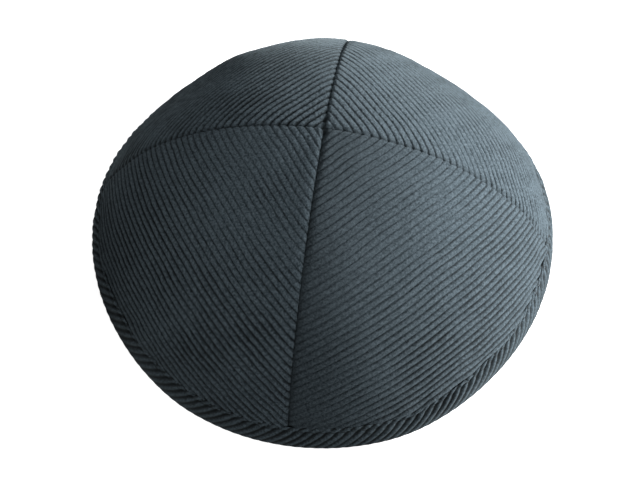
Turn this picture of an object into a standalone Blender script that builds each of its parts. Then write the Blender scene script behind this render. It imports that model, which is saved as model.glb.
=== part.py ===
"""Corduroy kippah: a cloth dome sewn from four panels, its edge bound with a bias-cut band.

The seams between the panels run along the X and Y axes and meet at the apex. It rests on the
front and back of its rim, and the rim rises a little at the two sides.
"""

import math
from collections import namedtuple

import bmesh
import bpy
from mathutils import Matrix, Vector

# Driving dimensions, in metres
crown_radius = 0.0845
crown_height = 0.0732
side_lift = 0.0080
panel_wall = 0.0014
band_wall = 0.0010
band_height = 0.0100
band_inside_height = 0.0092
fold_round = 0.0006
seam_dip = 0.0005
seam_roll = 0.0016
cloth_gap = 0.0003

# Half angle, in degrees, of the front and back stretches of the rim that lie flat
flat_half_angle = 25.0

# Form of the crown: how its profile bends over from apex to rim, and how its horizontal sections
# go from four-cornered, with the corners on the seams, near the apex to round at the rim
profile_bend = 2.10
profile_power = 0.645
corner_power_apex = 1.45
corner_power_rim = 2.00
corner_power_fade = 1.75

# Soft dents in the shoulder of the crown. The depth is a share of the crown's radius, outward
# positive; the azimuth runs from the right-hand seam, counter-clockwise seen from above.
Dent = namedtuple("Dent", "azimuth depth")
soft_dents = (
    Dent(azimuth=150.0, depth=-0.032),
    Dent(azimuth=122.0, depth=0.012),
    Dent(azimuth=23.0, depth=0.015),
)
dent_half_angle = 18.0
dent_centre_share = 0.85
dent_reach_share = 0.22
dent_outward_share = 0.80
dent_upward_share = 0.60

# Mesh fineness
panel_rows = 14
panel_columns = 14
band_segments = 72

# Panels in order from the right-hand seam, counter-clockwise
panel_names = ("panel_back_right", "panel_back_left", "panel_front_left", "panel_front_right")

# The panel's lower edge stands this far above the underside of the band that wraps it
edge_above = band_wall + cloth_gap


def smooth_step(share):
    share = min(max(share, 0.0), 1.0)
    return share * share * (3.0 - 2.0 * share)


def rim_lift(azimuth):
    """Height of the rim above the floor: none at the front and back, most at the side seams."""
    flat = math.sin(math.radians(flat_half_angle))
    return side_lift * smooth_step((abs(math.cos(azimuth)) - flat) / (1.0 - flat))


def share_at(azimuth, above, inset):
    """Radius share, 0 at the apex and 1 at the rim, of the crown at a height above its rim."""
    rise = crown_height - inset - rim_lift(azimuth)
    return (1.0 - (above / rise) ** (1.0 / profile_power)) ** (1.0 / profile_bend)


def dent_push(share, azimuth):
    """Outward push of all the soft dents at one place of the crown."""
    total = 0.0
    for dent in soft_dents:
        turn = math.remainder(azimuth - math.radians(dent.azimuth), math.tau)
        along = math.exp(-((turn / math.radians(dent_half_angle)) ** 2))
        down = math.exp(-(((share - dent_centre_share) / dent_reach_share) ** 2))
        total += dent.depth * crown_radius * along * down
    return total


def crown_place(share, azimuth, inset):
    """Radius and height of the cloth at a radius share and azimuth, inset from its outer face."""
    corner = corner_power_rim + (corner_power_apex - corner_power_rim) * (1.0 - share**corner_power_fade)
    across = abs(math.cos(azimuth)) ** corner + abs(math.sin(azimuth)) ** corner
    lift = rim_lift(azimuth)
    rise = crown_height - inset - lift
    push = dent_push(share, azimuth)
    radius = (crown_radius - inset) * share * across ** (-1.0 / corner) + dent_outward_share * push
    bowl = max(1.0 - share**profile_bend, 0.0) ** profile_power
    height = lift + rise * bowl + dent_upward_share * push * (1.0 - share**4)
    return radius, height


def cloth_material(name, colour, roughness):
    material = bpy.data.materials.new(name)
    material.use_nodes = True
    shader = material.node_tree.nodes["Principled BSDF"]
    shader.inputs["Base Color"].default_value = (*colour, 1.0)
    shader.inputs["Roughness"].default_value = roughness
    shader.inputs["Metallic"].default_value = 0.0
    return material


def finished_object(bm, name, material, collection):
    bmesh.ops.recalc_face_normals(bm, faces=bm.faces)
    mesh = bpy.data.meshes.new(name)
    bm.to_mesh(mesh)
    bm.free()
    mesh.materials.append(material)
    mesh.shade_smooth()
    mesh.set_sharp_from_angle(angle=math.radians(40.0))
    piece = bpy.data.objects.new(name, mesh)
    collection.objects.link(piece)
    return piece


def seam_groove(down):
    """Depth of the groove along a seam, from 0 at the apex to 1 at the rim: it fades out where
    the four panels meet, and under the band, which presses the seams flat.
    """
    from_apex = down * crown_radius / (3.0 * seam_roll)
    from_band = ((1.0 - down) * crown_radius - band_height) / band_height
    return seam_dip * smooth_step(from_apex) * smooth_step(from_band)


def column_angle(column, radius):
    """Angle of a panel's column from its first seam: the outermost pair rolls into the seams."""
    quarter = math.pi / 2.0
    last = panel_columns + 2
    roll = min(seam_roll / max(radius, seam_roll), quarter / (2.0 * panel_columns))
    if column == 0:
        return 0.0
    if column == last:
        return quarter
    return roll + (quarter - 2.0 * roll) * (column - 1) / panel_columns


def crown_panel(name, quadrant, material, collection):
    """One quarter of the crown, as a flat slab of cloth laid onto the dome."""
    columns = panel_columns + 2
    bm = bmesh.new()
    bmesh.ops.create_grid(bm, x_segments=panel_rows, y_segments=columns, size=0.5)
    slab = bmesh.ops.extrude_face_region(bm, geom=bm.faces[:], use_keep_orig=True)
    underside = [item for item in slab["geom"] if isinstance(item, bmesh.types.BMVert)]
    bmesh.ops.translate(bm, verts=underside, vec=Vector((0.0, 0.0, -1.0)))

    start = quadrant * math.pi / 2.0
    quarter_turn = Matrix.Rotation(start, 3, "Z")
    for vertex in bm.verts:
        down = vertex.co.x + 0.5
        column = round((vertex.co.y + 0.5) * columns)
        inset = panel_wall if vertex.co.z < -0.5 else 0.0
        if column in (0, columns):
            inset += seam_groove(down)
        rough_angle = math.pi / 2.0 * column / columns
        lowest = share_at(start + rough_angle, edge_above, inset)
        lowest_turn = math.asin(lowest ** (profile_bend / 2.0))
        share = math.sin(lowest_turn * down) ** (2.0 / profile_bend)
        angle = column_angle(column, crown_radius * share)
        radius, height = crown_place(share, start + angle, inset)
        # Each panel keeps half the gap to the plane of either seam
        along = max(radius * math.cos(angle), cloth_gap / 2.0)
        across = max(radius * math.sin(angle), cloth_gap / 2.0)
        vertex.co = quarter_turn @ Vector((along, across, height))
    bmesh.ops.remove_doubles(bm, verts=bm.verts, dist=1e-6)
    return finished_object(bm, name, material, collection)


def band_profile():
    """Section of the folded strip, as inset from the crown's outer face and height above the
    rim: up its inside, over into the channel that holds the panels' edge, and down its outside.
    """
    outer = -cloth_gap - band_wall
    inner = panel_wall + cloth_gap + band_wall
    return (
        (inner - fold_round, 0.0),
        (inner, fold_round),
        (inner, band_inside_height / 2.0),
        (inner, band_inside_height),
        (inner - band_wall, band_inside_height),
        (inner - band_wall, band_inside_height / 2.0),
        (inner - band_wall, band_wall),
        (outer + band_wall, band_wall),
        (outer + band_wall, band_height / 2.0),
        (outer + band_wall, band_height),
        (outer, band_height),
        (outer, band_height / 2.0),
        (outer, fold_round),
        (outer + fold_round, 0.0),
    )


def rim_band(name, material, collection):
    """The bias strip folded over the edge all round, as rings joined along its section."""
    bm = bmesh.new()
    first = bmesh.ops.create_circle(bm, segments=band_segments, radius=1.0)
    ring = first["verts"]
    first_edges = bm.edges[:]
    ring_edges = first_edges
    for step, (inset, above) in enumerate(band_profile()):
        if step:
            grown = bmesh.ops.extrude_edge_only(bm, edges=ring_edges)["geom"]
            ring = [item for item in grown if isinstance(item, bmesh.types.BMVert)]
            ring_edges = [
                item
                for item in grown
                if isinstance(item, bmesh.types.BMEdge) and all(v in ring for v in item.verts)
            ]
        for vertex in ring:
            azimuth = math.atan2(vertex.co.y, vertex.co.x)
            share = share_at(azimuth, above, inset)
            radius, height = crown_place(share, azimuth, inset)
            around = Vector((math.cos(azimuth), math.sin(azimuth), 0.0))
            vertex.co = around * radius + Vector((0.0, 0.0, rim_lift(azimuth) + above))
    bmesh.ops.bridge_loops(bm, edges=first_edges + ring_edges)
    return finished_object(bm, name, material, collection)


def main():
    for old in list(bpy.data.objects):
        bpy.data.objects.remove(old, do_unlink=True)
    collection = bpy.data.collections.new("corduroy_kippah")
    bpy.context.scene.collection.children.link(collection)

    corduroy = cloth_material("slate cotton corduroy", (0.040, 0.060, 0.068), 0.92)
    binding = cloth_material("slate bias corduroy binding", (0.030, 0.046, 0.052), 0.92)
    for quadrant, name in enumerate(panel_names):
        crown_panel(name, quadrant, corduroy, collection)
    rim_band("rim_band", binding, collection)


main()
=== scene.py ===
"""Corduroy kippah: the looks of the four ribbed panels, the bias-cut band and its stitches.

Everything is in metres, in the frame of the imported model: +Z up, -Y to the front, and the seams
between the panels along the X and Y axes.
"""

import math
from collections import namedtuple

import bmesh
import bpy
import numpy as np
from mathutils import Matrix, Vector


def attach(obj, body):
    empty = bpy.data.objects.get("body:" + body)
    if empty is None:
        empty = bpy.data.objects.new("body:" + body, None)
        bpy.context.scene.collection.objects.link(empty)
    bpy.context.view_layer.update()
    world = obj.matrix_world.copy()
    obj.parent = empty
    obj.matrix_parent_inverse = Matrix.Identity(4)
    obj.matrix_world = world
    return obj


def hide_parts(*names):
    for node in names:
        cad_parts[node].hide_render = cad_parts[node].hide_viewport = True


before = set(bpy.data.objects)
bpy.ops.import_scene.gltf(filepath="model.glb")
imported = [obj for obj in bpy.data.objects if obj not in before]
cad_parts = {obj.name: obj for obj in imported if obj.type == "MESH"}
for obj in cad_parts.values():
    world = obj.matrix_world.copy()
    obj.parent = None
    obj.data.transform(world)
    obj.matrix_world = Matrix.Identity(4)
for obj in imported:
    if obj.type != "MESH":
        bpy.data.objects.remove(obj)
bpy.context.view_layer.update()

mm = 0.001
quarter = math.pi / 2.0

# Driving dimensions of the crown and the band, as in the part's source, with angles in degrees
crown_radius = 84.5 * mm
crown_height = 73.2 * mm
side_lift = 8.0 * mm
panel_wall = 1.4 * mm
band_wall = 1.0 * mm
band_height = 10.0 * mm
band_inside_height = 9.2 * mm
cloth_gap = 0.3 * mm
edge_above = band_wall + cloth_gap
flat_half_angle = 25.0
profile_bend = 2.10
profile_power = 0.645
corner_power_apex = 1.45
corner_power_rim = 2.00
corner_power_fade = 1.75

# Soft dents in the shoulder of the crown: the azimuth in degrees from the right-hand seam,
# counter-clockwise from above, and the depth as a share of the crown's radius, outward positive
Dent = namedtuple("Dent", "azimuth depth")
soft_dents = (
    Dent(azimuth=150.0, depth=-0.032),
    Dent(azimuth=122.0, depth=0.012),
    Dent(azimuth=23.0, depth=0.015),
)
dent_half_angle = 18.0
dent_centre_share = 0.85
dent_reach_share = 0.22
dent_outward_share = 0.80
dent_upward_share = 0.60

# The corduroy: its rib spacing, the depth of the grooves and one rib's section, from one groove
# to the next, as shares of the spacing and of the depth
rib_spacing = 2.43 * mm
groove_depth = 0.85 * mm
RibRow = namedtuple("RibRow", "place height")
rib_rows = (
    RibRow(place=0.00, height=0.00),
    RibRow(place=0.07, height=0.28),
    RibRow(place=0.14, height=0.62),
    RibRow(place=0.22, height=0.85),
    RibRow(place=0.35, height=0.98),
    RibRow(place=0.50, height=1.00),
    RibRow(place=0.65, height=0.98),
    RibRow(place=0.78, height=0.85),
    RibRow(place=0.86, height=0.62),
    RibRow(place=0.93, height=0.28),
)

# How the ribs lie in each panel: they bend round its middle line by a spread that grows from the
# apex to the rim, and skew is the turn in degrees at which they cross it squarely. Sink and width
# give how deep and over what width the cloth rolls into the panel's first and last seam, and
# proud how far it stands out beside it. The pile lies its own way in each panel: closing is how
# far it leans over the grooves and narrows their darker colour; the gain is painted light, the
# panel's colour made lighter or darker for how its nap catches the light; the shade is painted
# shade, how much darker the colour is beside the first seam; and leant_share how much shallower
# the grooves are near the apex.
Seam = namedtuple("Seam", "sink width proud")
Panel = namedtuple(
    "Panel",
    "name spread_apex spread_rim spread_power skew first_rib "
    "first_seam last_seam closing gain shade leant_share",
)
panels = (
    Panel(
        name="panel_back_right",
        spread_apex=0.45,
        spread_rim=0.85,
        spread_power=1.5,
        skew=-6.0,
        first_rib=0.35,
        first_seam=Seam(sink=1.1 * mm, width=2.4 * mm, proud=0.0 * mm),
        last_seam=Seam(sink=0.8 * mm, width=1.4 * mm, proud=0.0 * mm),
        closing=0.05,
        gain=0.92,
        shade=0.0,
        leant_share=0.5,
    ),
    Panel(
        name="panel_back_left",
        spread_apex=0.50,
        spread_rim=0.80,
        spread_power=1.5,
        skew=7.0,
        first_rib=0.10,
        first_seam=Seam(sink=0.8 * mm, width=1.4 * mm, proud=0.0 * mm),
        last_seam=Seam(sink=0.8 * mm, width=1.6 * mm, proud=0.0 * mm),
        closing=-0.10,
        gain=1.08,
        shade=0.0,
        leant_share=0.1,
    ),
    Panel(
        name="panel_front_left",
        spread_apex=0.60,
        spread_rim=0.80,
        spread_power=3.6,
        skew=-12.8,
        first_rib=0.25,
        first_seam=Seam(sink=0.8 * mm, width=1.3 * mm, proud=0.1 * mm),
        last_seam=Seam(sink=0.7 * mm, width=1.0 * mm, proud=0.35 * mm),
        closing=0.02,
        gain=1.0,
        shade=0.0,
        leant_share=0.4,
    ),
    Panel(
        name="panel_front_right",
        spread_apex=0.53,
        spread_rim=0.73,
        spread_power=1.44,
        skew=3.6,
        first_rib=0.00,
        first_seam=Seam(sink=1.2 * mm, width=2.8 * mm, proud=0.0 * mm),
        last_seam=Seam(sink=0.6 * mm, width=1.0 * mm, proud=0.25 * mm),
        closing=0.0,
        gain=0.92,
        shade=0.36,
        leant_share=0.3,
    ),
)

# The slit left between two panels, the roll at which a seam's painted shade reaches its full
# darkness, how far from its first seam a panel's painted shade reaches, and how much that shade
# closes the pile
seam_slit = 0.04 * mm
deepest_roll = 1.1 * mm
shade_reach = 32.0 * mm
shade_closing = 0.8

# Beside a seam the cloth stands up most at this distance, and over this reach
rise_from_seam = 2.0 * mm
rise_reach = 3.0 * mm

# Above this height the pile begins to lean over the grooves, wholly so a reach further up
leant_from = 36.0 * mm
leant_reach = 26.0 * mm

# Unevenness of the cloth: how far the ribs waver over the panels and in the puckers above the
# band, how much the tufts, the sag of the cloth and the swollen puckers move its surface, and how
# deep it is tucked in under the band
rib_waver = 0.10 * mm
rib_waver_length = 14.0 * mm
pucker_waver = 0.28 * mm
pucker_waver_length = 9.0 * mm
pucker_reach = 9.0 * mm
steady_beside_seam = 6.0 * mm
steady_round_apex = 8.0 * mm
tuft_depth = 0.09 * mm
tuft_along = 2.2 * mm
tuft_across = 0.9 * rib_spacing
sag_depth = 0.16 * mm
sag_length = 26.0 * mm
pucker_swell = 0.16 * mm
pucker_swell_length = 8.0 * mm
tucked_depth = 0.45 * mm
tucked_below = 0.8 * mm
tucked_over = 1.2 * mm
tucked_flattens = 0.6

# The small opening where the four panels meet, along the seam from front to back, and the tuft
# of frayed edge that stands up in it
opening_front = 3.6 * mm
opening_front_fade = 1.6 * mm
opening_back = 7.2 * mm
opening_back_fade = 2.6 * mm
opening_half_width = 1.15 * mm
opening_waver = 0.35 * mm
opening_waver_length = 3.1 * mm
opening_depth = 0.6 * mm
nub_right = 0.7 * mm
nub_back = 2.2 * mm
nub_radius = 0.75 * mm
nub_height = 0.9 * mm
least_wall = 0.15 * mm

# Painted shade, darker colour for the shadow in a seam's roll and in the opening: how dark it is
# there, and how much the tuft that stands up in the opening takes off that
roll_painted_shade = 0.5
opening_painted_shade = 0.85
nub_less_shade = 0.7

# Columns across a panel: their distances from either seam and the number spread between those,
# and the halvings with which they are brought onto the ribs
edge_distances = np.array((0.0, 0.3, 0.7, 1.2, 1.9, 3.0)) * mm
inner_columns = 52
halvings = 24

# The bias band: as many ribs as fit round the rim at the lean that gives them their spacing, and
# a stitch line below its upper edge, with one stitch over each rib
band_ribs = 144
band_groove_depth = 0.75 * mm
band_closing = -0.04
# The band's gain is painted light: its colour scaled for how its nap catches the light
band_painted_brightness = 0.97
stitch_above = 8.5 * mm
stitch_inset_outside = -0.30 * mm
stitch_inset_inside = 2.30 * mm
stitch_half_width = 0.17 * mm
stitch_half_height = 0.15 * mm

# The band is pinched in along its stitches, less on the ribs than between them, where it is
# dimpled just below the stitches and painted shade darkens the dimples
dimple_above = 8.1 * mm
dimple_reach = 1.3 * mm
dimple_painted_shade = 0.65
pinch_on_rib = 0.10 * mm
pinch_between = 0.65 * mm
pinch_reach = 0.7 * mm
pinch_flattens = 0.4
band_swell = 0.12 * mm
band_swell_turn = 0.13
band_rib_along = math.tau * (crown_radius + band_wall) / band_ribs
stitch_half_length = 0.27 * band_rib_along
band_rib_slant = math.sqrt(band_rib_along**2 - rib_spacing**2) / rib_spacing


def smooth_step(share):
    share = np.clip(share, 0.0, 1.0)
    return share * share * (3.0 - 2.0 * share)


def rim_lift(azimuth):
    """Height of the rim above the floor: none at the front and back, most at the side seams."""
    flat = math.sin(math.radians(flat_half_angle))
    return side_lift * smooth_step((np.abs(np.cos(azimuth)) - flat) / (1.0 - flat))


def share_of(lean):
    """Radius share, 0 at the apex and 1 at the rim, for a lean from 0 to a quarter turn."""
    return np.sin(lean) ** (2.0 / profile_bend)


def lean_at(azimuth, above):
    """Lean of the crown at a height above its rim."""
    rise = crown_height - rim_lift(azimuth)
    return np.arccos((above / rise) ** (0.5 / profile_power))


def dent_push(share, azimuth):
    """Outward push of all the soft dents at one place of the crown."""
    total = 0.0
    for dent in soft_dents:
        turn = azimuth - math.radians(dent.azimuth)
        turn = (turn + math.pi) % math.tau - math.pi
        along = np.exp(-((turn / math.radians(dent_half_angle)) ** 2))
        down = np.exp(-(((share - dent_centre_share) / dent_reach_share) ** 2))
        total = total + dent.depth * crown_radius * along * down
    return total


def crown_point(lean, azimuth):
    """Places on the crown's outer face, as an array whose last axis is X, Y, Z."""
    share = share_of(lean)
    squared = 1.0 - share**corner_power_fade
    corner = corner_power_rim + (corner_power_apex - corner_power_rim) * squared
    across = np.abs(np.cos(azimuth)) ** corner + np.abs(np.sin(azimuth)) ** corner
    lift = rim_lift(azimuth)
    push = dent_push(share, azimuth)
    radius = crown_radius * share * across ** (-1.0 / corner) + dent_outward_share * push
    bowl = np.cos(lean) ** (2.0 * profile_power)
    height = lift + (crown_height - lift) * bowl + dent_upward_share * push * (1.0 - share**4)
    return np.stack((radius * np.cos(azimuth), radius * np.sin(azimuth), height), axis=-1)


def crown_normal(lean, azimuth):
    """Outward direction of the crown, from small steps down and around."""
    step = 0.004
    lean = np.clip(lean, 3.0 * step, quarter - 2.0 * step)
    down = crown_point(lean + step, azimuth) - crown_point(lean - step, azimuth)
    around = crown_point(lean, azimuth + step) - crown_point(lean, azimuth - step)
    normal = np.cross(down, around)
    return normal / np.linalg.norm(normal, axis=-1, keepdims=True)


def ripple(points, wavelength, seed):
    """Soft unevenness of cloth, mostly between -1 and 1, as a sum of crossing waves."""
    chance = np.random.default_rng(seed)
    total = 0.0
    for _ in range(7):
        direction = chance.normal(size=points.shape[-1])
        direction *= math.tau / (wavelength * chance.uniform(0.75, 1.4) * np.linalg.norm(direction))
        total = total + np.sin(points @ direction + chance.uniform(0.0, math.tau))
    return total / 2.6


# Meshes laid out from arrays of places


def laid_piece(name, skins, fabric, facing, nap, materials):
    """A grid of cloth, or a slab of two skins joined at their edges, laid onto arrays of places.

    skins holds one or two arrays of rows, columns and X, Y, Z; fabric the same rows and columns
    with the place on the uncut cloth, along and across its ribs, which becomes the UV map; facing
    the direction in which the pile stands; and nap the attributes that the materials read: the
    crease, from 0 to 1, painted shade that darkens the colour where a place lies deep in a seam or
    under a stitch, where hardly any light comes, and the closing of the pile and its gain, painted
    light that makes the colour lighter or darker for how the nap catches the light.
    """
    rows, columns = fabric.shape[:2]
    bm = bmesh.new()
    bmesh.ops.create_grid(bm, x_segments=rows - 1, y_segments=columns - 1, size=0.5)
    if len(skins) == 2:
        slab = bmesh.ops.extrude_face_region(bm, geom=bm.faces[:], use_keep_orig=True)
        underside = [item for item in slab["geom"] if isinstance(item, bmesh.types.BMVert)]
        bmesh.ops.translate(bm, verts=underside, vec=Vector((0.0, 0.0, -1.0)))
    mesh = bpy.data.meshes.new(name)
    bm.to_mesh(mesh)
    bm.free()

    flat = np.empty(len(mesh.vertices) * 3)
    mesh.vertices.foreach_get("co", flat)
    flat = flat.reshape(-1, 3)
    row = np.rint((flat[:, 0] + 0.5) * (rows - 1)).astype(int)
    column = np.rint((flat[:, 1] + 0.5) * (columns - 1)).astype(int)
    skin = (flat[:, 2] < -0.5).astype(int)
    places = np.stack(skins)[skin, row, column]
    mesh.vertices.foreach_set("co", places.ravel())
    stands = mesh.attributes.new("pile_direction", "FLOAT_VECTOR", "POINT")
    stands.data.foreach_set("vector", facing[row, column].astype(np.float32).ravel())
    for attribute, values in nap.items():
        values = np.broadcast_to(values, (rows, columns))
        shaded = mesh.attributes.new(attribute, "FLOAT", "POINT")
        shaded.data.foreach_set("value", values[row, column].astype(np.float32))

    corners = np.empty(len(mesh.loops), dtype=np.int32)
    mesh.loops.foreach_get("vertex_index", corners)
    layer = mesh.uv_layers.new(name="fabric")
    layer.uv.foreach_set("vector", fabric[row, column][corners].astype(np.float32).ravel())
    inside = skin[corners].reshape(-1, 4).min(axis=1)
    mesh.polygons.foreach_set("material_index", inside.astype(np.int32))

    bm = bmesh.new()
    bm.from_mesh(mesh)
    bmesh.ops.remove_doubles(bm, verts=bm.verts, dist=0.001 * mm)
    bmesh.ops.recalc_face_normals(bm, faces=bm.faces)
    bm.to_mesh(mesh)
    bm.free()
    for material in materials:
        mesh.materials.append(material)
    mesh.shade_smooth()
    piece = bpy.data.objects.new(name, mesh)
    bpy.context.scene.collection.objects.link(piece)
    return piece


# The panels

middle_leans = np.linspace(0.0, quarter, 400)
rim_turns = np.linspace(-quarter / 2.0, quarter / 2.0, 721)


def middle_arcs(middle):
    """Distance from the apex down the middle line of a panel, at each of middle_leans."""
    line = crown_point(middle_leans, np.full_like(middle_leans, middle))
    steps = np.linalg.norm(np.diff(line, axis=0), axis=-1)
    return np.concatenate(((0.0,), np.cumsum(steps)))


def rib_distance(panel, middle, lean, turn):
    """Distance from the apex measured across the ribs, on the uncut cloth of one panel."""
    share = share_of(lean)
    spread = panel.spread_apex + (panel.spread_rim - panel.spread_apex) * share**panel.spread_power
    skew = math.radians(panel.skew)
    droop = (np.cos(spread * skew) - np.cos(spread * (turn - skew))) / spread
    return np.interp(lean, middle_leans, middle_arcs(middle)) - crown_radius * share * droop


def panel_rows(panel, furthest):
    """Distances across the ribs of all rows of a panel, and the cloth's height there."""
    distances = [0.0]
    heights = [0.6]
    rib = -1
    while True:
        for row in rib_rows:
            distance = (rib + panel.first_rib + row.place) * rib_spacing
            if distance >= furthest - 0.05 * mm:
                return np.array(distances + [furthest]), np.array(heights + [0.5])
            if distance > 0.1 * mm:
                distances.append(distance)
                heights.append(row.height)
        rib += 1


def rim_distances(panel, middle):
    """Distances across the ribs along a panel's lower edge, at each of rim_turns."""
    return rib_distance(panel, middle, lean_at(middle + rim_turns, edge_above), rim_turns)


def panel_turns(panel, middle, distances):
    """Angles from a panel's middle line at which its columns cross each row of ribs."""
    rim = rim_distances(panel, middle)
    peak = int(np.argmax(rim))
    first = np.interp(distances, rim[: peak + 1], rim_turns[: peak + 1])
    last = np.interp(distances, rim[: peak - 1 : -1], rim_turns[: peak - 1 : -1])
    middle_share = share_of(np.interp(distances, middle_arcs(middle), middle_leans))
    length = np.maximum(crown_radius * middle_share * (last - first), 0.01 * mm)[:, None]
    near = edge_distances * np.minimum(1.0, length / (3.0 * edge_distances[-1])) / length
    inner = np.linspace(0.0, 1.0, inner_columns + 2)[1:-1]
    between = near[:, -1:] + (1.0 - 2.0 * near[:, -1:]) * inner
    columns = np.concatenate((near, between, 1.0 - near[:, ::-1]), axis=1)
    return first[:, None] + (last - first)[:, None] * columns


def lean_of_rib(panel, middle, wanted, turn):
    """Lean at which each column meets a row, by halving."""
    low = np.zeros_like(turn)
    high = lean_at(middle + turn, edge_above)
    for _ in range(halvings):
        half = (low + high) / 2.0
        beyond = rib_distance(panel, middle, half, turn) > wanted
        high = np.where(beyond, half, high)
        low = np.where(beyond, low, half)
    return (low + high) / 2.0


def seam_roll(distance, seam):
    """Depth of the cloth that rolls down into a seam."""
    return seam.sink * np.clip(1.0 - distance / seam.width, 0.0, 1.0) ** 2


def seam_rise(distance, seam):
    """How far the cloth stands up beside a seam, over the allowance that is folded under it."""
    return seam.proud * np.exp(-(((distance - rise_from_seam) / rise_reach) ** 2))


def apex_opening(places):
    """How far the cloth opens round the apex, from 0 to 1, along the seam from front to back."""
    x = places[..., 0] + opening_waver * ripple(places[..., 1:2], opening_waver_length, seed=53)
    y = places[..., 1]
    front = smooth_step((y + opening_front) / opening_front_fade)
    back_end = smooth_step((opening_back - y) / opening_back_fade)
    return front * back_end * np.exp(-((x / opening_half_width) ** 2))


def frayed_nub(places):
    """A tuft of frayed edge that stands up in the opening at the apex."""
    away = np.hypot(places[..., 0] - nub_right, places[..., 1] - nub_back)
    return np.exp(-((away / nub_radius) ** 2))


def crown_panel(panel, quadrant, materials):
    """One quarter of the crown: a slab of cloth whose rows of faces follow its ribs."""
    middle = (quadrant + 0.5) * quarter
    distances, heights = panel_rows(panel, rim_distances(panel, middle).max())
    turn = panel_turns(panel, middle, distances)
    across = np.broadcast_to(distances[:, None], turn.shape)

    # The ribs waver a little, and more in the puckers above the band
    lean = lean_of_rib(panel, middle, across, turn)
    azimuth = middle + turn
    smooth = crown_point(lean, azimuth)
    above = smooth[..., 2] - rim_lift(azimuth)
    puckered = np.exp(-(((above - band_height) / pucker_reach) ** 2))
    radius = np.linalg.norm(smooth[..., :2], axis=-1)
    to_first = radius * np.abs(np.sin(turn + quarter / 2.0))
    to_last = radius * np.abs(np.sin(turn - quarter / 2.0))
    away = smooth_step(np.minimum(to_first, to_last) / steady_beside_seam)
    away = away * smooth_step(distances / steady_round_apex)[:, None]
    waver = rib_waver * ripple(smooth, rib_waver_length, seed=3 + quadrant)
    tight = ripple(smooth, pucker_waver_length, seed=11 + quadrant)
    waver = waver + pucker_waver * puckered * tight
    lean = lean_of_rib(panel, middle, across + waver * away, turn)

    smooth = crown_point(lean, azimuth)
    normal = crown_normal(lean, azimuth)
    radius = np.linalg.norm(smooth[..., :2], axis=-1)
    above = smooth[..., 2] - rim_lift(azimuth)
    under_band = smooth_step((band_height - tucked_below - above) / tucked_over)
    along = radius * turn
    on_cloth = np.stack((along / tuft_along, across / tuft_across), axis=-1)

    # Towards the crown the grooves are shallower, as the pile leans over them
    leant = smooth_step((smooth[..., 2] - leant_from) / leant_reach)
    open_depth = groove_depth * (1.0 - panel.leant_share * leant)
    depth = (1.0 - heights[:, None]) * open_depth * (1.0 - tucked_flattens * under_band)
    depth = depth + tuft_depth * ripple(on_cloth, 1.0, seed=31 + quadrant) * heights[:, None]
    rolled = seam_roll(to_first, panel.first_seam) + seam_roll(to_last, panel.last_seam)
    risen = seam_rise(to_first, panel.first_seam) + seam_rise(to_last, panel.last_seam)
    depth = depth + (rolled - risen) * (1.0 - under_band)
    depth = depth + sag_depth * ripple(smooth, sag_length, seed=5)
    swollen = pucker_swell * puckered * (1.0 + ripple(smooth, pucker_swell_length, seed=6))
    depth = depth - swollen * (1.0 - under_band)
    depth = depth + tucked_depth * under_band
    opening = apex_opening(smooth)
    nub = frayed_nub(smooth)
    depth = np.minimum(depth + opening_depth * opening, panel_wall - least_wall)
    depth = depth - nub_height * nub
    # Painted shade: the colour darkens where the cloth rolls into a seam and in the opening at the apex,
    # less on the tuft that stands up in it
    crease_and_shade = np.maximum(roll_painted_shade * rolled / deepest_roll, opening_painted_shade * opening)
    crease_and_shade = np.clip(crease_and_shade - nub_less_shade * nub, 0.0, 1.0)

    outer = smooth - normal * depth[..., None]
    inner = smooth - normal * panel_wall
    turned = np.array(Matrix.Rotation(-quadrant * quarter, 3, "Z"))
    skins = []
    for places in (outer, inner):
        local = places @ turned.T
        local[..., :2] = np.maximum(local[..., :2], seam_slit / 2.0)
        skins.append(local @ turned)
    fabric = np.stack((along, across - panel.first_rib * rib_spacing), axis=-1)
    name = panel.name.replace("panel", "cloth")
    # Painted shade beside the first seam: the panel's gain, painted light, drops there, and the pile
    # closes
    beside = panel.shade * np.exp(-((to_first / shade_reach) ** 2))
    nap = {
        "crease_and_shade": crease_and_shade,
        "closing": panel.closing + shade_closing * beside,
        "gain": panel.gain - beside,
    }
    piece = laid_piece(name, skins, fabric, normal, nap, materials)
    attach(piece, "root")
    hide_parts(panel.name)


# The band

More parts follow.
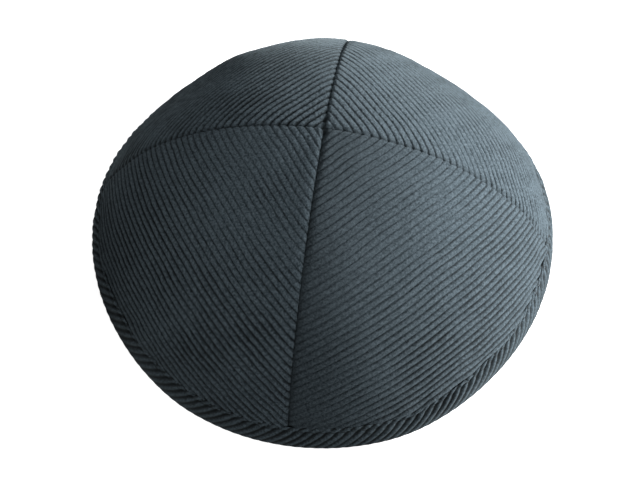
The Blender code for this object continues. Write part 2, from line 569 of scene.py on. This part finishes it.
# Section of the folded strip, down its outside, up its inside and back through the channel that
# holds the panels: inset from the crown's outer face, height above the rim, and share of ribbing
BandRow = namedtuple("BandRow", "inset above ribbed")
band_rows = (
    BandRow(inset=0.35 * mm, above=band_height - 1.2 * mm, ribbed=0.0),
    BandRow(inset=0.25 * mm, above=band_height - 0.2 * mm, ribbed=0.2),
    BandRow(inset=-0.05 * mm, above=band_height + 0.15 * mm, ribbed=0.5),
    BandRow(inset=-0.45 * mm, above=band_height, ribbed=0.7),
    BandRow(inset=-0.70 * mm, above=stitch_above + 0.95 * mm, ribbed=0.9),
    BandRow(inset=-0.65 * mm, above=stitch_above + 0.5 * mm, ribbed=1.0),
    BandRow(inset=-0.50 * mm, above=stitch_above, ribbed=1.0),
    BandRow(inset=-0.75 * mm, above=stitch_above - 0.5 * mm, ribbed=1.0),
    BandRow(inset=-1.10 * mm, above=stitch_above - 1.2 * mm, ribbed=1.0),
    BandRow(inset=-1.40 * mm, above=stitch_above - 2.4 * mm, ribbed=1.0),
    BandRow(inset=-1.45 * mm, above=4.4 * mm, ribbed=0.7),
    BandRow(inset=-1.40 * mm, above=2.8 * mm, ribbed=0.45),
    BandRow(inset=-1.25 * mm, above=1.5 * mm, ribbed=0.25),
    BandRow(inset=-0.95 * mm, above=0.6 * mm, ribbed=0.15),
    BandRow(inset=-0.50 * mm, above=0.12 * mm, ribbed=0.15),
    BandRow(inset=0.30 * mm, above=0.0, ribbed=0.1),
    BandRow(inset=1.60 * mm, above=0.0, ribbed=0.1),
    BandRow(inset=2.45 * mm, above=0.25 * mm, ribbed=0.5),
    BandRow(inset=2.75 * mm, above=0.9 * mm, ribbed=0.9),
    BandRow(inset=2.80 * mm, above=2.4 * mm, ribbed=1.0),
    BandRow(inset=2.80 * mm, above=4.4 * mm, ribbed=1.0),
    BandRow(inset=2.75 * mm, above=6.4 * mm, ribbed=1.0),
    BandRow(inset=2.45 * mm, above=stitch_above - 0.5 * mm, ribbed=1.0),
    BandRow(inset=2.35 * mm, above=stitch_above, ribbed=1.0),
    BandRow(inset=2.45 * mm, above=band_inside_height - 0.2 * mm, ribbed=0.8),
    BandRow(inset=1.85 * mm, above=band_inside_height, ribbed=0.0),
    BandRow(inset=1.75 * mm, above=5.0 * mm, ribbed=0.0),
    BandRow(inset=1.70 * mm, above=1.1 * mm, ribbed=0.0),
    BandRow(inset=-0.20 * mm, above=1.1 * mm, ribbed=0.0),
    BandRow(inset=-0.20 * mm, above=3.5 * mm, ribbed=0.0),
    BandRow(inset=-0.15 * mm, above=6.0 * mm, ribbed=0.0),
    BandRow(inset=0.35 * mm, above=band_height - 1.2 * mm, ribbed=0.0),
)

# The rows from the band's upper edge down its outside, and the inset between its two leaves
outer_leaf = slice(2, 12)
between_leaves = 0.5 * mm
fold_height = 0.2 * mm

# Heights of the columns across one rib, from groove to groove
band_rib_columns = (0.0, 0.40, 0.85, 1.0, 0.85, 0.40)

BandLayout = namedtuple("BandLayout", "inset above ribbed down height azimuth across")


def band_layout():
    """Rows and columns of the band: inset, height above the rim, ribbing, way down the strip,
    rib height, azimuth and place across the ribs, as arrays. The columns follow the slanting ribs.
    """
    inset, above, ribbed = (np.array(values)[:, None] for values in zip(*band_rows))
    steps = np.hypot(np.diff(inset, axis=0), np.diff(above, axis=0))
    down = np.concatenate((np.zeros((1, 1)), np.cumsum(steps, axis=0)))
    columns = band_ribs * len(band_rib_columns)
    column = np.arange(columns + 1)[None, :]
    height = np.array(band_rib_columns)[column % len(band_rib_columns)]
    azimuth = column / columns * math.tau - band_rib_slant * down / crown_radius
    across = column / len(band_rib_columns) * rib_spacing
    return BandLayout(inset, above, ribbed, down, height, azimuth, across)


def rim_band(materials):
    """The bias strip folded over the edge, pinched along its stitch line."""
    inset, above, ribbed, down, height, azimuth, across = band_layout()
    stitched = np.exp(-(((above - stitch_above) / pinch_reach) ** 2)) * (ribbed > 0.8)
    pinch = (pinch_on_rib + pinch_between * (1.0 - height)) * stitched
    ring = np.stack((np.cos(azimuth), np.sin(azimuth)), axis=-1)
    swell = band_swell * ripple(ring, band_swell_turn, seed=21) * ribbed
    flattened = 1.0 - pinch_flattens * stitched
    depth = (1.0 - height) * band_groove_depth * ribbed * flattened + pinch + swell
    inward = np.where(inset < between_leaves, 1.0, -1.0)
    lean = lean_at(azimuth, above)
    normal = crown_normal(lean, azimuth)
    places = crown_point(lean, azimuth) - normal * (inset + inward * depth)[..., None]
    fold = (above < fold_height) & (ribbed > 0.0)
    places[..., 2] = np.where(fold, rim_lift(azimuth) + above + depth * 0.5, places[..., 2])
    fabric = np.stack(np.broadcast_arrays(down, across), axis=-1)
    facing = normal * inward[..., None]
    # Painted shade: darker colour in the dimples below the stitches, between the ribs
    dimple_shade = np.exp(-(((above - dimple_above) / dimple_reach) ** 2)) * (ribbed > 0.5)
    crease_and_shade = dimple_painted_shade * dimple_shade * (1.0 - height) ** 0.8
    nap = {"crease_and_shade": crease_and_shade, "closing": band_closing, "gain": band_painted_brightness}
    piece = laid_piece("bias_band", [places], fabric, facing, nap, materials)
    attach(piece, "root")
    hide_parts("rim_band")


def stitch_line(name, above, inset, material):
    """One stitch over each rib of the band, sunk in its pile, as one mesh."""
    bm = bmesh.new()
    strip = band_layout()
    down_here = np.interp(-above, -strip.above[outer_leaf, 0], strip.down[outer_leaf, 0])
    for stitch in range(band_ribs):
        turned = (stitch + 0.5) / band_ribs * math.tau
        azimuth = np.array(turned - band_rib_slant * down_here / crown_radius)
        lean = lean_at(azimuth, above)
        normal = crown_normal(lean, azimuth)
        place = crown_point(lean, azimuth) - normal * inset
        around = np.array((-math.sin(azimuth), math.cos(azimuth), 0.0))
        axes = np.stack((around, np.cross(normal, around), normal), axis=-1)
        placed = Matrix.Translation(place) @ Matrix(axes).to_4x4()
        half_size = (stitch_half_length, stitch_half_width, stitch_half_height, 1.0)
        shape = placed @ Matrix.Diagonal(half_size)
        bmesh.ops.create_uvsphere(bm, u_segments=8, v_segments=6, radius=1.0, matrix=shape)
    mesh = bpy.data.meshes.new(name)
    bm.to_mesh(mesh)
    bm.free()
    mesh.materials.append(material)
    mesh.shade_smooth()
    piece = bpy.data.objects.new(name, mesh)
    bpy.context.scene.collection.objects.link(piece)
    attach(piece, "root")


# The seam allowances inside: strips as wide as their width, or as this share of the crown's radius
# near the apex, with a valley along the seam

allowance_width = 6.5 * mm
allowance_wall = 0.8 * mm
allowance_gap = 0.05 * mm
allowance_wave = 0.10 * mm
allowance_wave_length = 9.0 * mm
allowance_valley = 0.7 * mm
allowance_share = 0.62
allowance_rows = 48
allowance_columns = 15
first_lean = 0.0005


def seam_allowance(name, azimuth, material):
    """The two panels' raw edges along one seam, pressed open on the inside."""
    last_lean = float(lean_at(np.array(azimuth), band_inside_height - 1.0 * mm))
    lean = np.linspace(first_lean, last_lean, allowance_rows)[:, None]
    side = np.linspace(-1.0, 1.0, allowance_columns)[None, :]
    radius = np.linalg.norm(crown_point(lean, np.full_like(lean, azimuth))[..., :2], axis=-1)
    offset = side * np.minimum(allowance_width, allowance_share * radius)
    turn = azimuth + offset / radius
    lean = np.broadcast_to(lean, turn.shape)
    smooth = crown_point(lean, turn)
    normal = crown_normal(lean, turn)
    rounded = np.sqrt(np.clip(1.0 - np.abs(side) ** 6, 0.0, 1.0))
    # The valley along the seam is deepened, and also darkened with painted shade for the shadow in it
    crease_and_shade = np.exp(-((offset / allowance_valley) ** 2))
    wave = allowance_wave * ripple(smooth, allowance_wave_length, seed=41)
    near = np.full_like(offset, panel_wall + allowance_gap)
    far = near + allowance_wall * (0.35 + 0.65 * rounded - 0.45 * crease_and_shade) + wave * rounded
    skins = [smooth - normal * far[..., None], smooth - normal * near[..., None]]
    fabric = np.stack((offset, lean * crown_radius), axis=-1)
    piece = laid_piece(name, skins, fabric, -normal, {"crease_and_shade": 0.6 * crease_and_shade}, (material,))
    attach(piece, "root")


# Materials


def srgb(hex_colour):
    """An sRGB hex colour as linear red, green, blue and alpha."""
    parts = [int(hex_colour[start : start + 2], 16) / 255.0 for start in (1, 3, 5)]
    linear = [part / 12.92 if part <= 0.04045 else ((part + 0.055) / 1.055) ** 2.4 for part in parts]
    return (*linear, 1.0)


def add_node(tree, kind, settings=None, links=None):
    """Adds a node. A setting is one of its properties or the value of an input socket."""
    node = tree.nodes.new(kind)
    for name, value in (settings or {}).items():
        if isinstance(name, str) and hasattr(node, name):
            setattr(node, name, value)
        else:
            node.inputs[name].default_value = value
    for name, source in (links or {}).items():
        tree.links.new(source, node.inputs[name])
    return node


def new_material(name):
    material = bpy.data.materials.new(name)
    material.use_nodes = True
    material.node_tree.nodes.clear()
    return material, material.node_tree


def slate_corduroy(name, groove, hollow, crest, tip, standing):
    """Cotton corduroy, cut pile: dull fibres, darker between the ribs, where the ground weave shows
    and painted shade stands in for the shadow in the grooves, and lighter on the crests, speckled
    by single tufts, with patches where the pile is brushed over the grooves. Standing is how far it
    is lit by the pile's own direction instead of the rib's slope.
    """
    material, tree = new_material(name)
    cloth = add_node(tree, "ShaderNodeUVMap", {"uv_map": "fabric"})
    place = add_node(tree, "ShaderNodeTexCoord")
    parts = add_node(tree, "ShaderNodeSeparateXYZ", links={0: cloth.outputs[0]})
    ribs = add_node(
        tree, "ShaderNodeMath", {"operation": "DIVIDE", 1: rib_spacing}, {0: parts.outputs["Y"]}
    )
    # 0 in the groove and 0.5 on the crest, made ragged by the tufts and shifted by the brushing
    across = add_node(tree, "ShaderNodeMath", {"operation": "PINGPONG", 1: 0.5}, {0: ribs.outputs[0]})
    tufts = add_node(
        tree,
        "ShaderNodeTexNoise",
        {"Scale": 1.0 / (0.8 * mm), "Detail": 3.0, "Roughness": 0.75},
        {"Vector": place.outputs["Object"]},
    )
    nap = add_node(
        tree,
        "ShaderNodeTexNoise",
        {"Scale": 1.0 / (17.0 * mm), "Detail": 2.0, "Roughness": 0.55},
        {"Vector": place.outputs["Object"]},
    )
    ragged = add_node(
        tree,
        "ShaderNodeMath",
        {"operation": "MULTIPLY_ADD", 1: 0.25},
        {0: tufts.outputs["Fac"], 2: across.outputs[0]},
    )
    shifted = add_node(
        tree,
        "ShaderNodeMath",
        {"operation": "MULTIPLY_ADD", 1: 0.35},
        {0: nap.outputs["Fac"], 2: ragged.outputs[0]},
    )
    # Towards the crown the pile leans over the grooves and closes them
    height = add_node(tree, "ShaderNodeSeparateXYZ", links={0: place.outputs["Object"]})
    closed = add_node(
        tree,
        "ShaderNodeMapRange",
        {"From Min": leant_from, "From Max": leant_from + leant_reach, "To Max": 0.13},
        {"Value": height.outputs["Z"]},
    )
    closing = add_node(tree, "ShaderNodeAttribute", {"attribute_name": "closing"})
    leant = add_node(
        tree, "ShaderNodeMath", {"operation": "ADD"}, {0: closing.outputs["Fac"], 1: closed.outputs[0]}
    )
    filled = add_node(
        tree, "ShaderNodeMath", {"operation": "ADD"}, {0: shifted.outputs[0], 1: leant.outputs[0]}
    )
    on_rib = add_node(
        tree,
        "ShaderNodeMapRange",
        {"interpolation_type": "SMOOTHSTEP", "From Min": 0.27, "From Max": 0.72},
        {"Value": filled.outputs[0]},
    )
    fibres = add_node(
        tree,
        "ShaderNodeMapRange",
        {"From Min": 0.34, "From Max": 0.66},
        {"Value": tufts.outputs["Fac"]},
    )
    # The groove colours are partly the ground weave and partly painted shade in the grooves
    low = add_node(
        tree,
        "ShaderNodeMix",
        {"data_type": "RGBA", 6: srgb(groove), 7: srgb(hollow)},
        {0: fibres.outputs[0]},
    )
    high = add_node(
        tree,
        "ShaderNodeMix",
        {"data_type": "RGBA", 6: srgb(crest), 7: srgb(tip)},
        {0: fibres.outputs[0]},
    )
    ribbed = add_node(
        tree,
        "ShaderNodeMix",
        {"data_type": "RGBA"},
        {0: on_rib.outputs[0], 6: low.outputs[2], 7: high.outputs[2]},
    )
    # Painted light: the gain attribute makes the colour lighter or darker for how the nap catches the
    # light
    gain = add_node(tree, "ShaderNodeAttribute", {"attribute_name": "gain"})
    lit = add_node(
        tree,
        "ShaderNodeVectorMath",
        {"operation": "SCALE"},
        {0: ribbed.outputs[2], "Scale": gain.outputs["Fac"]},
    )
    # Painted shade: the crease attribute darkens the colour to near black in seams, in the opening at
    # the apex and in the stitch dimples
    crease_shade_node = add_node(tree, "ShaderNodeAttribute", {"attribute_name": "crease_and_shade"})
    colour = add_node(
        tree,
        "ShaderNodeMix",
        {"data_type": "RGBA", 7: srgb("#0d1113")},
        {0: crease_shade_node.outputs["Fac"], 6: lit.outputs[0]},
    )
    # The pile stands away from the dome, so it catches light less by the rib's own slope
    surface = add_node(tree, "ShaderNodeNewGeometry")
    stands = add_node(tree, "ShaderNodeAttribute", {"attribute_name": "pile_direction"})
    leaning = add_node(
        tree,
        "ShaderNodeMix",
        {"data_type": "VECTOR", 0: standing},
        {4: surface.outputs["Normal"], 5: stands.outputs["Vector"]},
    )
    upright = add_node(tree, "ShaderNodeVectorMath", {"operation": "NORMALIZE"}, {0: leaning.outputs[1]})
    bump = add_node(
        tree,
        "ShaderNodeBump",
        {"Strength": 0.8, "Distance": 0.16 * mm},
        {"Height": tufts.outputs["Fac"], "Normal": upright.outputs[0]},
    )
    shader = add_node(
        tree,
        "ShaderNodeBsdfPrincipled",
        {
            "Roughness": 0.95,
            "Specular IOR Level": 0.15,
            "Sheen Weight": 0.35,
            "Sheen Roughness": 0.5,
            "Sheen Tint": srgb("#a9b8bd"),
        },
        {"Base Color": colour.outputs[2], "Normal": bump.outputs[0]},
    )
    add_node(tree, "ShaderNodeOutputMaterial", links={"Surface": shader.outputs[0]})
    return material


def plain_weave(name, dark, light, pitch):
    """Flat cotton weave, the back of the corduroy: matt, with fine checks of warp and weft that
    break up the colour, and a little fuzz.
    """
    material, tree = new_material(name)
    cloth = add_node(tree, "ShaderNodeUVMap", {"uv_map": "fabric"})
    place = add_node(tree, "ShaderNodeTexCoord")
    turned = add_node(
        tree,
        "ShaderNodeVectorMath",
        {"operation": "SCALE", "Scale": math.tau / pitch},
        {0: cloth.outputs[0]},
    )
    parts = add_node(tree, "ShaderNodeSeparateXYZ", links={0: turned.outputs[0]})
    warp = add_node(tree, "ShaderNodeMath", {"operation": "SINE"}, {0: parts.outputs["X"]})
    weft = add_node(tree, "ShaderNodeMath", {"operation": "SINE"}, {0: parts.outputs["Y"]})
    checks = add_node(
        tree, "ShaderNodeMath", {"operation": "MULTIPLY"}, {0: warp.outputs[0], 1: weft.outputs[0]}
    )
    fuzz = add_node(
        tree,
        "ShaderNodeTexNoise",
        {"Scale": 1.0 / (1.1 * mm), "Detail": 3.0, "Roughness": 0.7},
        {"Vector": place.outputs["Object"]},
    )
    uneven = add_node(
        tree,
        "ShaderNodeMath",
        {"operation": "MULTIPLY_ADD", 1: 0.25},
        {0: checks.outputs[0], 2: fuzz.outputs["Fac"]},
    )
    level = add_node(
        tree, "ShaderNodeMapRange", {"From Min": 0.2, "From Max": 0.8}, {"Value": uneven.outputs[0]}
    )
    woven = add_node(
        tree,
        "ShaderNodeMix",
        {"data_type": "RGBA", 6: srgb(dark), 7: srgb(light)},
        {0: level.outputs[0]},
    )
    # Painted shade: the crease attribute darkens the colour along the valley of a seam allowance
    crease_shade_node = add_node(tree, "ShaderNodeAttribute", {"attribute_name": "crease_and_shade"})
    colour = add_node(
        tree,
        "ShaderNodeMix",
        {"data_type": "RGBA", 7: srgb("#0a0d0f")},
        {0: crease_shade_node.outputs["Fac"], 6: woven.outputs[2]},
    )
    bump = add_node(
        tree, "ShaderNodeBump", {"Strength": 0.5, "Distance": 0.08 * mm}, {"Height": uneven.outputs[0]}
    )
    shader = add_node(
        tree,
        "ShaderNodeBsdfPrincipled",
        {
            "Roughness": 0.95,
            "Specular IOR Level": 0.2,
            "Sheen Weight": 0.25,
            "Sheen Tint": srgb("#a9b8bd"),
        },
        {"Base Color": colour.outputs[2], "Normal": bump.outputs[0]},
    )
    add_node(tree, "ShaderNodeOutputMaterial", links={"Surface": shader.outputs[0]})
    return material


def spun_thread(name, dark, light):
    """Polyester sewing thread: a soft shine, broken up by the twist of its plies."""
    material, tree = new_material(name)
    place = add_node(tree, "ShaderNodeTexCoord")
    twist = add_node(
        tree,
        "ShaderNodeTexNoise",
        {"Scale": 1.0 / (0.35 * mm), "Detail": 2.0, "Distortion": 1.2},
        {"Vector": place.outputs["Object"]},
    )
    colour = add_node(
        tree,
        "ShaderNodeMix",
        {"data_type": "RGBA", 6: srgb(dark), 7: srgb(light)},
        {0: twist.outputs["Fac"]},
    )
    shine = add_node(
        tree, "ShaderNodeMapRange", {"To Min": 0.45, "To Max": 0.75}, {"Value": twist.outputs["Fac"]}
    )
    shader = add_node(
        tree,
        "ShaderNodeBsdfPrincipled",
        {"Specular IOR Level": 0.35},
        {"Base Color": colour.outputs[2], "Roughness": shine.outputs[0]},
    )
    add_node(tree, "ShaderNodeOutputMaterial", links={"Surface": shader.outputs[0]})
    return material


def studio_white(name):
    """Matt white paper lit so brightly that it burns out, as in the photo."""
    material, tree = new_material(name)
    shader = add_node(
        tree,
        "ShaderNodeBsdfPrincipled",
        {
            "Base Color": srgb("#f4f4f4"),
            "Roughness": 0.9,
            "Emission Color": srgb("#ffffff"),
            "Emission Strength": 0.9,
        },
    )
    add_node(tree, "ShaderNodeOutputMaterial", links={"Surface": shader.outputs[0]})
    return material


# The pieces

# The groove and hollow colours, the first two, are partly the ground weave and partly painted shade
pile = slate_corduroy(
    "slate cotton corduroy, cut pile", "#0b0e10", "#191f23", "#2e383e", "#5a676f", 0.8
)
bias_pile = slate_corduroy(
    "slate corduroy on the bias, cut pile", "#07090a", "#0d1012", "#2e373c", "#56636b", 0.6
)
back = plain_weave("corduroy back, plain weave", "#1c2226", "#353f45", 0.5 * mm)
thread = spun_thread("polyester sewing thread, slate", "#151a1d", "#2c353a")
for quadrant, panel in enumerate(panels):
    crown_panel(panel, quadrant, (pile, back))
rim_band((bias_pile,))
stitch_line("stitches_outside", stitch_above, stitch_inset_outside, thread)
stitch_line("stitches_inside", stitch_above, stitch_inset_inside, thread)
for name, azimuth in (("right", 0.0), ("back", 90.0), ("left", 180.0), ("front", 270.0)):
    seam_allowance("seam_allowance_" + name, math.radians(azimuth), back)

# Floor, light and camera

floor_bm = bmesh.new()
bmesh.ops.create_grid(floor_bm, x_segments=1, y_segments=1, size=3.0)
floor_mesh = bpy.data.meshes.new("floor")
floor_bm.to_mesh(floor_mesh)
floor_bm.free()
floor_mesh.materials.append(studio_white("white studio floor, matt paper"))
floor = bpy.data.objects.new("floor", floor_mesh)
# The cap in the photo stands cut out on white: no light comes back up from the floor
floor.visible_diffuse = False
floor.visible_glossy = False
bpy.context.scene.collection.objects.link(floor)


def aim(place, target, roll=0.0):
    """Turns an object at a place so that it looks at a target, with its own up rolled."""
    back_axis = (Vector(place) - Vector(target)).normalized()
    right_axis = Vector((0.0, 0.0, 1.0)).cross(back_axis).normalized()
    up_axis = back_axis.cross(right_axis)
    rolled_right = right_axis * math.cos(roll) - up_axis * math.sin(roll)
    rolled_up = right_axis * math.sin(roll) + up_axis * math.cos(roll)
    turned = Matrix((rolled_right, rolled_up, back_axis)).transposed().to_4x4()
    return Matrix.Translation(place) @ turned


def direction_of(azimuth, elevation):
    """Unit vector seen from the cap; azimuth 0 is the right-hand seam, 90 the back."""
    azimuth = math.radians(azimuth)
    elevation = math.radians(elevation)
    level = math.cos(elevation)
    return Vector((math.cos(azimuth) * level, math.sin(azimuth) * level, math.sin(elevation)))


def soft_light(name, azimuth, elevation, distance, size, power):
    light = bpy.data.lights.new(name, "AREA")
    light.shape = "DISK"
    light.size = size
    light.energy = power
    lamp = bpy.data.objects.new(name, light)
    middle = Vector((0.0, 0.0, crown_height / 2.0))
    place = middle + direction_of(azimuth, elevation) * distance
    lamp.matrix_world = aim(place, middle)
    bpy.context.scene.collection.objects.link(lamp)


soft_light("key_light", azimuth=22.0, elevation=13.0, distance=1.6, size=0.7, power=77.0)
soft_light("top_light", azimuth=45.0, elevation=70.0, distance=1.6, size=0.6, power=6.5)
soft_light("front_fill", azimuth=-50.0, elevation=25.0, distance=1.6, size=0.6, power=11.0)
soft_light("left_fill", azimuth=165.0, elevation=35.0, distance=1.6, size=0.6, power=3.2)

world = bpy.data.worlds.new("studio")
world.use_nodes = True
world.node_tree.nodes["Background"].inputs["Color"].default_value = srgb("#ffffff")
world.node_tree.nodes["Background"].inputs["Strength"].default_value = 0.04
bpy.context.scene.world = world

# The camera as fitted to the photo: its direction from the cap in degrees, its distance, the
# height it looks at, how far the cap stands off the middle of the picture, and its roll
camera_azimuth = -90.0 + 7.82
camera_elevation = 57.62
camera_distance = 575.0 * mm
look_height = 25.0 * mm
shift_right = 0.83 * mm
shift_up = 12.37 * mm
camera_roll = -0.0136

camera_data = bpy.data.cameras.new("camera")
camera_data.lens = 88.6
camera_data.sensor_width = 36.0
camera = bpy.data.objects.new("camera", camera_data)
back_axis = direction_of(camera_azimuth, camera_elevation)
right_axis = Vector((0.0, 0.0, 1.0)).cross(back_axis).normalized()
up_axis = back_axis.cross(right_axis)
target = Vector((0.0, 0.0, look_height)) - right_axis * shift_right - up_axis * shift_up
camera.matrix_world = aim(target + back_axis * camera_distance, target, camera_roll)
bpy.context.scene.collection.objects.link(camera)
bpy.context.scene.camera = camera
bpy.context.scene.view_settings.view_transform = "Standard"
